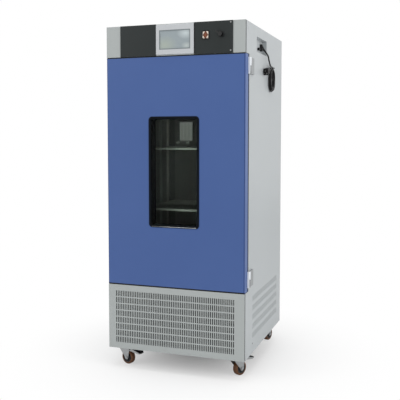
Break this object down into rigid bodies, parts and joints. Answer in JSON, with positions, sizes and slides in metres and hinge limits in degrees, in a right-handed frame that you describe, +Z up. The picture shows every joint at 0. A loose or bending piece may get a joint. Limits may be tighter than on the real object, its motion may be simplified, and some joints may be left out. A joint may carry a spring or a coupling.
{
  "type": "plant growth chamber",
  "caption": "Tall floor-standing growth chamber on casters with a side-hinged windowed door, lit and shelved inside, a touch display above and a slotted machine bay below.",
  "frame": {"origin": "on the floor, under the middle of the object's box without its cord", "axes": "+Z up, +X to the right as seen from the front, -Y out of the door's front"},
  "size_m": [0.7685, 0.8252, 1.776],
  "materials": {
    "painted_grey": "light grey powder coat, satin",
    "painted_blue": "blue-grey powder coat, satin",
    "side_grey": "light grey powder coat, fine texture",
    "stainless": "satin stainless sheet",
    "zinc": "bright zinc plate",
    "hinge_metal": "grey paint on steel",
    "foam": null,
    "dark_plate": "dark grey plate, smooth",
    "bezel_grey": "light grey plastic, satin",
    "screen": "lit display under glass",
    "black_plastic": "black plastic, satin",
    "amber": "clear amber plastic over a lamp",
    "white_plastic": "white plastic",
    "glass": "clear glass, faintly grey",
    "lamp": "white coated lamp glass",
    "rubber": "grey-black soft rubber",
    "copper": "copper tube and thin fins",
    "wheel_brown": "brown polyurethane, smooth",
    "compressor_black": "black enamel",
    "cord_black": "black flexible jacket, satin"
  },
  "bodies": {
    "cabinet": {"base_frame": "side_grey", "left_side_panel": "side_grey", "right_side_panel": "side_grey", "back_panel": "side_grey", "top_cover": "side_grey", "lower_front_grille": "painted_grey", "control_fascia": "painted_grey", "control_plates": "dark_plate", "panel_screws": "white_plastic", "display_bezel": "bezel_grey", "display_screen": "screen", "switch_bezels": "black_plastic", "front_frame": "painted_grey", "chamber_liner": "stainless", "body_insulation": "foam", "control_deck": "zinc", "duct_cover": "stainless", "air_coils": "copper", "fan_motors": "zinc", "duct_fittings": "white_plastic", "lamp_tubes": "lamp", "lamp_guards": "glass", "shelf_uprights": "stainless", "shelf_clips": "stainless", "compressor": "compressor_black", "condenser": "copper", "controller": "zinc", "power_recess": "side_grey", "breaker": "black_plastic", "cord_gland": "black_plastic", "mains_cord": "cord_black", "cord_hank": "cord_black", "cord_tie": "black_plastic", "mains_plug": "cord_black", "cabinet_hinge_leaves": "hinge_metal", "caster_plates": "zinc"},
    "door": {"door_shell": "painted_blue", "door_liner": "stainless", "door_insulation": "foam", "window_frame": "black_plastic", "window_panes": "glass", "door_gasket": "rubber", "door_hinge_leaves": "hinge_metal"},
    "rocker": {"rocker": "amber"},
    "selector": {"selector_lever": "black_plastic"},
    "breaker_toggle": {"breaker_toggle": "black_plastic"},
    "circulation_fan": {"circulation_fan": "stainless"},
    "condenser_fan": {"condenser_fan": "zinc"},
    "lower_shelf": {"lower_shelf": "stainless"},
    "upper_shelf": {"upper_shelf": "stainless"},
    "fork_front_left": {"fork_front_left": "zinc"},
    "wheel_front_left": {"wheel_front_left": "wheel_brown"},
    "pedal_front_left": {"pedal_front_left": "black_plastic"},
    "fork_front_right": {"fork_front_right": "zinc"},
    "wheel_front_right": {"wheel_front_right": "wheel_brown"},
    "pedal_front_right": {"pedal_front_right": "black_plastic"},
    "fork_back_left": {"fork_back_left": "zinc"},
    "wheel_back_left": {"wheel_back_left": "wheel_brown"},
    "fork_back_right": {"fork_back_right": "zinc"},
    "wheel_back_right": {"wheel_back_right": "wheel_brown"}
  },
  "joints": [
    {"name": "door_hinge", "type": "hinge", "parent": "cabinet", "child": "door", "pos_m": [0.37025, -0.32285, 0.506], "axis": [0, 0, 1], "range_deg": [0, 110]},
    {"name": "rocker_press", "type": "hinge", "parent": "cabinet", "child": "rocker", "pos_m": [0.16275, -0.38735, 1.711], "axis": [1, 0, 0], "range_deg": [0, 16]},
    {"name": "selector_turn", "type": "hinge", "parent": "cabinet", "child": "selector", "pos_m": [0.24075, -0.39435, 1.711], "axis": [0, 1, 0], "range_deg": [0, 90]},
    {"name": "breaker_throw", "type": "hinge", "parent": "cabinet", "child": "breaker_toggle", "pos_m": [0.34675, -0.01135, 1.687], "axis": [0, 1, 0], "range_deg": [0, 50]},
    {"name": "circulation_fan_spin", "type": "hinge", "parent": "cabinet", "child": "circulation_fan", "pos_m": [-0.00625, 0.30065, 1.4], "axis": [0, 1, 0], "continuous": true},
    {"name": "condenser_fan_spin", "type": "hinge", "parent": "cabinet", "child": "condenser_fan", "pos_m": [0.12375, 0.21865, 0.234], "axis": [0, 1, 0], "continuous": true},
    {"name": "lower_shelf_lift", "type": "slide", "parent": "cabinet", "child": "lower_shelf", "axis": [0, 0, 1], "range_m": [0, 0.06]},
    {"name": "upper_shelf_lift", "type": "slide", "parent": "cabinet", "child": "upper_shelf", "axis": [0, 0, 1], "range_m": [0, 0.06]},
    {"name": "front_left_swivel", "type": "hinge", "parent": "cabinet", "child": "fork_front_left", "pos_m": [-0.32425, -0.30035, 0.084], "axis": [0, 0, 1], "continuous": true},
    {"name": "front_left_roll", "type": "hinge", "parent": "fork_front_left", "child": "wheel_front_left", "pos_m": [-0.3013, -0.30737, 0.0375], "axis": [0.2924, 0.9563, 0], "continuous": true},
    {"name": "front_left_brake", "type": "hinge", "parent": "fork_front_left", "child": "pedal_front_left", "pos_m": [-0.29174, -0.31029, 0.079], "axis": [0.2924, 0.9563, 0], "range_deg": [0, 12]},
    {"name": "front_right_swivel", "type": "hinge", "parent": "cabinet", "child": "fork_front_right", "pos_m": [0.29775, -0.30035, 0.084], "axis": [0, 0, 1], "continuous": true},
    {"name": "front_right_roll", "type": "hinge", "parent": "fork_front_right", "child": "wheel_front_right", "pos_m": [0.30865, -0.27897, 0.0375], "axis": [-0.891, 0.454, 0], "continuous": true},
    {"name": "front_right_brake", "type": "hinge", "parent": "fork_front_right", "child": "pedal_front_right", "pos_m": [0.31319, -0.27006, 0.079], "axis": [-0.891, 0.454, 0], "range_deg": [0, 12]},
    {"name": "back_left_swivel", "type": "hinge", "parent": "cabinet", "child": "fork_back_left", "pos_m": [-0.32425, 0.32565, 0.084], "axis": [0, 0, 1], "continuous": true},
    {"name": "back_left_roll", "type": "hinge", "parent": "fork_back_left", "child": "wheel_back_left", "pos_m": [-0.31225, 0.34643, 0.0375], "axis": [-0.866, 0.5, 0], "continuous": true},
    {"name": "back_right_swivel", "type": "hinge", "parent": "cabinet", "child": "fork_back_right", "pos_m": [0.29775, 0.32565, 0.084], "axis": [0, 0, 1], "continuous": true},
    {"name": "back_right_roll", "type": "hinge", "parent": "fork_back_right", "child": "wheel_back_right", "pos_m": [0.30396, 0.34883, 0.0375], "axis": [-0.9659, 0.2588, 0], "continuous": true}
  ]
}
